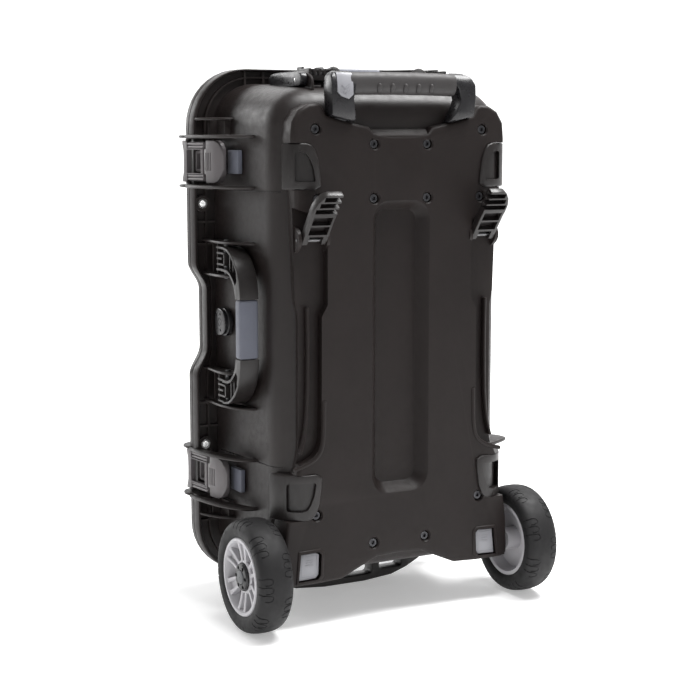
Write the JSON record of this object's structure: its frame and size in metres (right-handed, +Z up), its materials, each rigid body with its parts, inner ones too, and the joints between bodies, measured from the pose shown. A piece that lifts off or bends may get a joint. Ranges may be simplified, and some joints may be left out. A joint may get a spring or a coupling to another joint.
{
  "type": "drone carrying case",
  "caption": "Wheeled hard carrying case with a side-opening lid, foam cavities for a drone, a telescopic handle, fold-down grips and fold-out legs.",
  "frame": {"origin": "on the floor under the middle of the bounding box, with the case standing upright on its wheels and foot", "axes": "+Z up along the case's long side, +Y toward the lid, -Y the back plate with the telescopic handle, +X the hinge side, -X the latch side"},
  "size_m": [0.3648, 0.2575, 0.584],
  "materials": {
    "case_charcoal": "fine-textured moulded",
    "lid_charcoal": "fine-textured moulded",
    "plate_charcoal": "fine-textured moulded",
    "latch_taupe": "satin",
    "grip_slate": "soft touch",
    "button_grey": "satin",
    "bright_steel": "bright",
    "anodised_tube": "anodised",
    "tyre_rubber": "moulded",
    "rim_grey": "satin",
    "gloss_black": "semi-gloss",
    "foam_graphite": "closed-cell foam",
    "seal_rubber": "matte"
  },
  "bodies": {
    "case": {"base_shell": "case_charcoal", "back_plate": "plate_charcoal", "base_foam": "foam_graphite", "corner_bumper_upper_left": "case_charcoal", "corner_bumper_upper_right": "case_charcoal", "corner_bumper_lower_left": "case_charcoal", "corner_bumper_lower_right": "case_charcoal", "outer_tube_left": "anodised_tube", "outer_tube_right": "anodised_tube", "stand_foot": "case_charcoal", "pressure_valve": "gloss_black", "hinge_pin_upper": "bright_steel", "hinge_pin_lower": "bright_steel", "eyelet_base_upper": "bright_steel", "eyelet_base_lower": "bright_steel", "latch_keeper_upper": "grip_slate", "latch_keeper_lower": "grip_slate", "axle_left": "bright_steel", "axle_right": "bright_steel", "leg_pin_left": "bright_steel", "leg_pin_right": "bright_steel", "side_handle_pin_a": "bright_steel", "side_handle_pin_b": "bright_steel", "end_handle_pin_a": "bright_steel", "end_handle_pin_b": "bright_steel"},
    "lid": {"lid_shell": "lid_charcoal", "lid_seal": "seal_rubber", "lid_foam": "foam_graphite", "eyelet_lid_upper": "bright_steel", "eyelet_lid_lower": "bright_steel"},
    "latch_upper": {"latch_frame_upper": "latch_taupe", "latch_link_upper": "latch_taupe"},
    "latch_lower": {"latch_frame_lower": "latch_taupe", "latch_link_lower": "latch_taupe"},
    "pull_upper": {"latch_pull_upper": "latch_taupe"},
    "pull_lower": {"latch_pull_lower": "latch_taupe"},
    "side_grip": {"side_handle": "gloss_black", "side_handle_grip": "grip_slate"},
    "end_grip": {"end_handle": "gloss_black", "end_handle_grip": "grip_slate"},
    "middle_stage": {"middle_tube_left": "anodised_tube", "middle_tube_right": "anodised_tube"},
    "handle_stage": {"inner_tube_left": "anodised_tube", "inner_tube_right": "anodised_tube", "trolley_handle": "gloss_black"},
    "handle_release": {"handle_button": "button_grey"},
    "leg_l": {"leg_left": "case_charcoal"},
    "leg_r": {"leg_right": "case_charcoal"},
    "wheel_l": {"tyre_left": "tyre_rubber", "wheel_rim_left": "rim_grey", "hub_cap_left": "gloss_black"},
    "wheel_r": {"tyre_right": "tyre_rubber", "wheel_rim_right": "rim_grey", "hub_cap_right": "gloss_black"},
    "release_l": {"release_button_left": "button_grey"},
    "release_r": {"release_button_right": "button_grey"}
  },
  "joints": [
    {"name": "lid_hinge", "type": "hinge", "parent": "case", "child": "lid", "pos_m": [0.172, 0.07185, 0.305], "axis": [0, 0, -1], "range_deg": [0, 110]},
    {"name": "latch_upper_hinge", "type": "hinge", "parent": "lid", "child": "latch_upper", "pos_m": [-0.1665, 0.08885, 0.485], "axis": [0, 0, -1], "range_deg": [0, 60]},
    {"name": "latch_lower_hinge", "type": "hinge", "parent": "lid", "child": "latch_lower", "pos_m": [-0.1665, 0.08885, 0.144], "axis": [0, 0, -1], "range_deg": [0, 60]},
    {"name": "pull_upper_hinge", "type": "hinge", "parent": "latch_upper", "child": "pull_upper", "pos_m": [-0.1615, 0.04335, 0.485], "axis": [0, 0, -1], "range_deg": [0, 90]},
    {"name": "pull_lower_hinge", "type": "hinge", "parent": "latch_lower", "child": "pull_lower", "pos_m": [-0.1615, 0.04335, 0.144], "axis": [0, 0, -1], "range_deg": [0, 90]},
    {"name": "side_handle_hinge", "type": "hinge", "parent": "case", "child": "side_grip", "pos_m": [-0.1535, 0.01585, 0.313], "axis": [0, 0, -1], "range_deg": [0, 90]},
    {"name": "end_handle_hinge", "type": "hinge", "parent": "case", "child": "end_grip", "pos_m": [0, -0.03315, 0.5753], "axis": [1, 0, 0], "range_deg": [0, 90]},
    {"name": "middle_slide", "type": "slide", "parent": "case", "child": "middle_stage", "axis": [0, 0, 1], "range_m": [0, 0.2]},
    {"name": "handle_slide", "type": "slide", "parent": "middle_stage", "child": "handle_stage", "axis": [0, 0, 1], "range_m": [0, 0.2]},
    {"name": "button_press", "type": "slide", "parent": "handle_stage", "child": "handle_release", "axis": [0, 1, 0], "range_m": [0, 0.0018], "stiffness_N_per_m": 400},
    {"name": "leg_left_fold", "type": "hinge", "parent": "case", "child": "leg_l", "pos_m": [-0.102, -0.08465, 0.407], "axis": [1, 0, 0], "range_deg": [0, 140]},
    {"name": "leg_right_fold", "type": "hinge", "parent": "case", "child": "leg_r", "pos_m": [0.102, -0.08465, 0.407], "axis": [1, 0, 0], "range_deg": [0, 140]},
    {"name": "wheel_left_spin", "type": "hinge", "parent": "case", "child": "wheel_l", "pos_m": [-0.1634, -0.06885, 0.06], "axis": [1, 0, 0], "continuous": true},
    {"name": "wheel_right_spin", "type": "hinge", "parent": "case", "child": "wheel_r", "pos_m": [0.1634, -0.06885, 0.06], "axis": [1, 0, 0], "continuous": true},
    {"name": "release_left_press", "type": "slide", "parent": "case", "child": "release_l", "axis": [0, 1, 0], "range_m": [0, 0.002], "stiffness_N_per_m": 600},
    {"name": "release_right_press", "type": "slide", "parent": "case", "child": "release_r", "axis": [0, 1, 0], "range_m": [0, 0.002], "stiffness_N_per_m": 600}
  ],
  "couplings": [
    {"joint": "handle_slide", "follows": "middle_slide", "ratio": 1}
  ]
}
